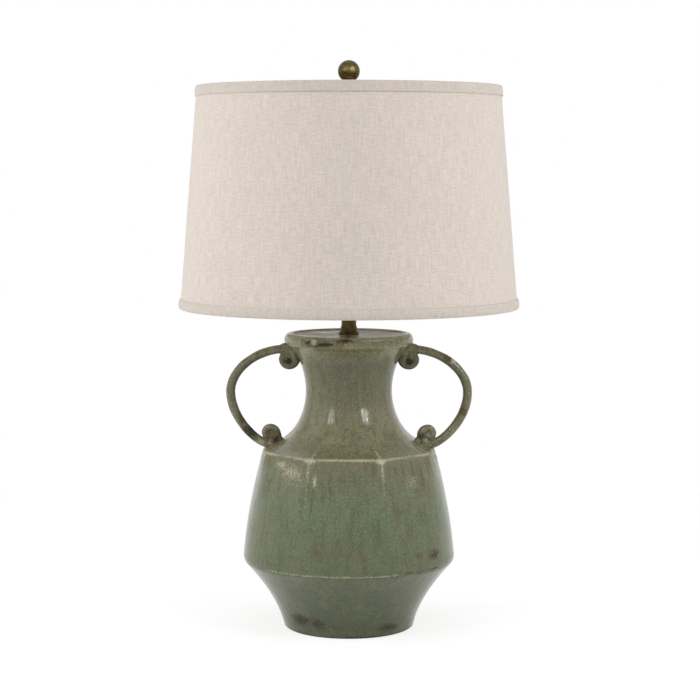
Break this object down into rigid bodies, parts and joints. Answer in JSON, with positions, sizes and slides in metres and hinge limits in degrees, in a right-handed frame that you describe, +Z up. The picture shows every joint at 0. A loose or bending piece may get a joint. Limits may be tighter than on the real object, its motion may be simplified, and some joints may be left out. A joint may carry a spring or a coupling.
{
  "type": "table lamp",
  "caption": "Faceted crackle-glazed ceramic urn lamp with scroll handles, a brass neck and ball finial, a harp, a turn-switch socket and a linen drum shade.",
  "frame": {"origin": "centre of the felt pad's underside, where the lamp stands", "axes": "+Z up along the lamp's axis, -Y towards the front, +X through the right handle; the cord inlet is at the back, towards +Y"},
  "size_m": [0.4524, 0.4524, 0.7552],
  "materials": {
    "crackle_glaze": "gloss",
    "felt": "matte",
    "black_plastic": "satin",
    "zinc_steel": "satin",
    "antique_brass": "satin",
    "lacquered_brass": "satin",
    "fibre_board": "matte",
    "aluminium_shell": "satin",
    "bulb_glass": "gloss",
    "black_glass": "gloss",
    "clear_glass": "gloss",
    "filament_wire": "satin",
    "linen": "matte",
    "styrene": "matte",
    "white_wire": "satin"
  },
  "bodies": {
    "root": {"ceramic_body": "crackle_glaze", "handle_right": "crackle_glaze", "handle_left": "crackle_glaze", "felt_pad": "felt", "cord_bushing": "black_plastic", "threaded_rod": "zinc_steel", "base_washer": "zinc_steel", "base_lock_washer": "zinc_steel", "base_nut": "zinc_steel", "neck_flange": "antique_brass", "neck_tube": "antique_brass", "neck_cap": "antique_brass", "harp_saddle": "lacquered_brass", "saddle_nut": "lacquered_brass", "harp_frame": "lacquered_brass", "harp_stud": "lacquered_brass", "socket_cap": "lacquered_brass", "socket_set_screw": "zinc_steel", "socket_shell": "lacquered_brass", "socket_liner": "fibre_board", "socket_insulator": "black_plastic", "socket_terminal_screws": "zinc_steel", "socket_screw_shell": "aluminium_shell", "socket_contact": "lacquered_brass"},
    "shade": {"shade_fabric": "linen", "shade_lining": "styrene", "shade_top_trim": "linen", "shade_bottom_trim": "linen", "shade_top_ring": "white_wire", "shade_bottom_ring": "white_wire", "spider_washer": "lacquered_brass", "spider_arms": "lacquered_brass"},
    "finial": {"finial_neck": "antique_brass", "finial_ball": "antique_brass"},
    "bulb": {"bulb_glass": "bulb_glass", "bulb_base": "aluminium_shell", "bulb_insulator": "black_glass", "bulb_contact": "aluminium_shell", "bulb_stem": "clear_glass", "bulb_filament": "filament_wire"},
    "switch": {"switch_shaft": "lacquered_brass", "switch_knob": "black_plastic"},
    "ferrule_right": {"harp_ferrule_right": "lacquered_brass"},
    "ferrule_left": {"harp_ferrule_left": "lacquered_brass"}
  },
  "joints": [
    {"name": "shade_turn", "type": "hinge", "parent": "root", "child": "shade", "pos_m": [0, 0, 0.7113], "axis": [0, 0, 1], "continuous": true},
    {"name": "finial_turn", "type": "hinge", "parent": "root", "child": "finial", "pos_m": [0, 0, 0.7133], "axis": [0, 0, 1], "continuous": true},
    {"name": "bulb_turn", "type": "hinge", "parent": "root", "child": "bulb", "pos_m": [0, 0, 0.5019], "axis": [0, 0, 1], "continuous": true},
    {"name": "switch_turn", "type": "hinge", "parent": "root", "child": "switch", "pos_m": [0, -0.02, 0.4901], "axis": [0, -1, 0], "continuous": true},
    {"name": "ferrule_right_slide", "type": "slide", "parent": "root", "child": "ferrule_right", "axis": [0, 0, 1], "range_m": [0, 0.012]},
    {"name": "ferrule_left_slide", "type": "slide", "parent": "root", "child": "ferrule_left", "axis": [0, 0, 1], "range_m": [0, 0.012]}
  ]
}
